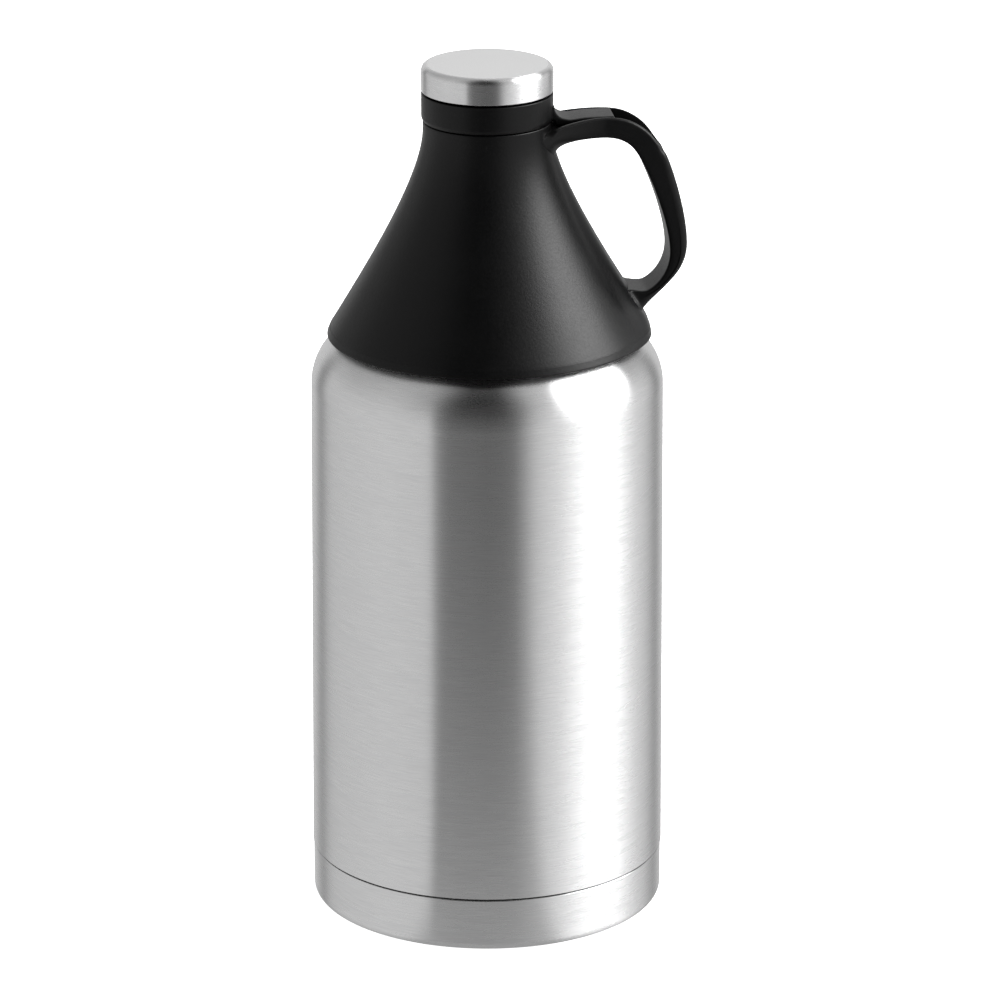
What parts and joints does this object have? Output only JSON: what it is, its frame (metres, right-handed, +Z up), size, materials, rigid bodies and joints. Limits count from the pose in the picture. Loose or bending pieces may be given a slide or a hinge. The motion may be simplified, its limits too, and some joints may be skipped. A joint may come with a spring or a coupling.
{
  "type": "growler",
  "caption": "Vacuum-insulated steel beer growler with a screw-on black conical pouring top, a loop handle and a steel-faced screw cap held in a keeper ring.",
  "frame": {"origin": "centre of the base, on the plane that the growler stands on", "axes": "+Z up along the growler's axis, +X towards the handle"},
  "size_m": [0.1361, 0.129, 0.3147],
  "materials": {
    "brushed_steel": "fine circumferential brushing, satin",
    "raw_steel": "drawn and electropolished, semi-bright",
    "sealing_glass": "smooth vitreous sealing bead",
    "getter_metal": "dull sintered metal",
    "silicone": "translucent grey, matte",
    "black_plastic": "fine spark-eroded moulded texture, low sheen",
    "liner_plastic": "smooth moulded, semi-matte",
    "foam": "moulded bead foam",
    "screw_steel": "zinc plated"
  },
  "bodies": {
    "vessel": {"outer_shell": "brushed_steel", "inner_vessel": "raw_steel", "vacuum_base_plate": "raw_steel", "vacuum_seal_plug": "sealing_glass", "getter_holder": "raw_steel", "getter_pill": "getter_metal", "base_cup": "brushed_steel"},
    "mouth_seal": {"mouth_gasket": "silicone"},
    "top": {"cone_shell": "black_plastic", "pour_funnel": "liner_plastic", "cone_insulation": "foam", "handle": "black_plastic", "handle_screw_upper": "screw_steel", "handle_screw_lower_left": "screw_steel", "handle_screw_lower_right": "screw_steel"},
    "keeper": {"cap_keeper": "black_plastic"},
    "cap": {"cap_cover": "brushed_steel", "cap_body": "liner_plastic", "cap_insulation": "foam", "cap_gasket": "silicone"}
  },
  "joints": [
    {"name": "cone_rise", "type": "slide", "parent": "vessel", "child": "mouth_seal", "axis": [0, 0, 1], "range_m": [0, 0.0121]},
    {"name": "cone_turn", "type": "hinge", "parent": "mouth_seal", "child": "top", "pos_m": [0, 0, 0.24], "axis": [0, 0, 1], "range_deg": [0, 720]},
    {"name": "cap_rise", "type": "slide", "parent": "top", "child": "keeper", "axis": [0, 0, 1], "range_m": [0, 0.0081]},
    {"name": "cap_turn", "type": "hinge", "parent": "keeper", "child": "cap", "pos_m": [0, 0, 0.3], "axis": [0, 0, 1], "range_deg": [0, 720]}
  ],
  "couplings": [
    {"joint": "cone_rise", "follows": "cone_turn", "m_per_rad": 0.00095493},
    {"joint": "cap_rise", "follows": "cap_turn", "m_per_rad": 0.00063662}
  ]
}
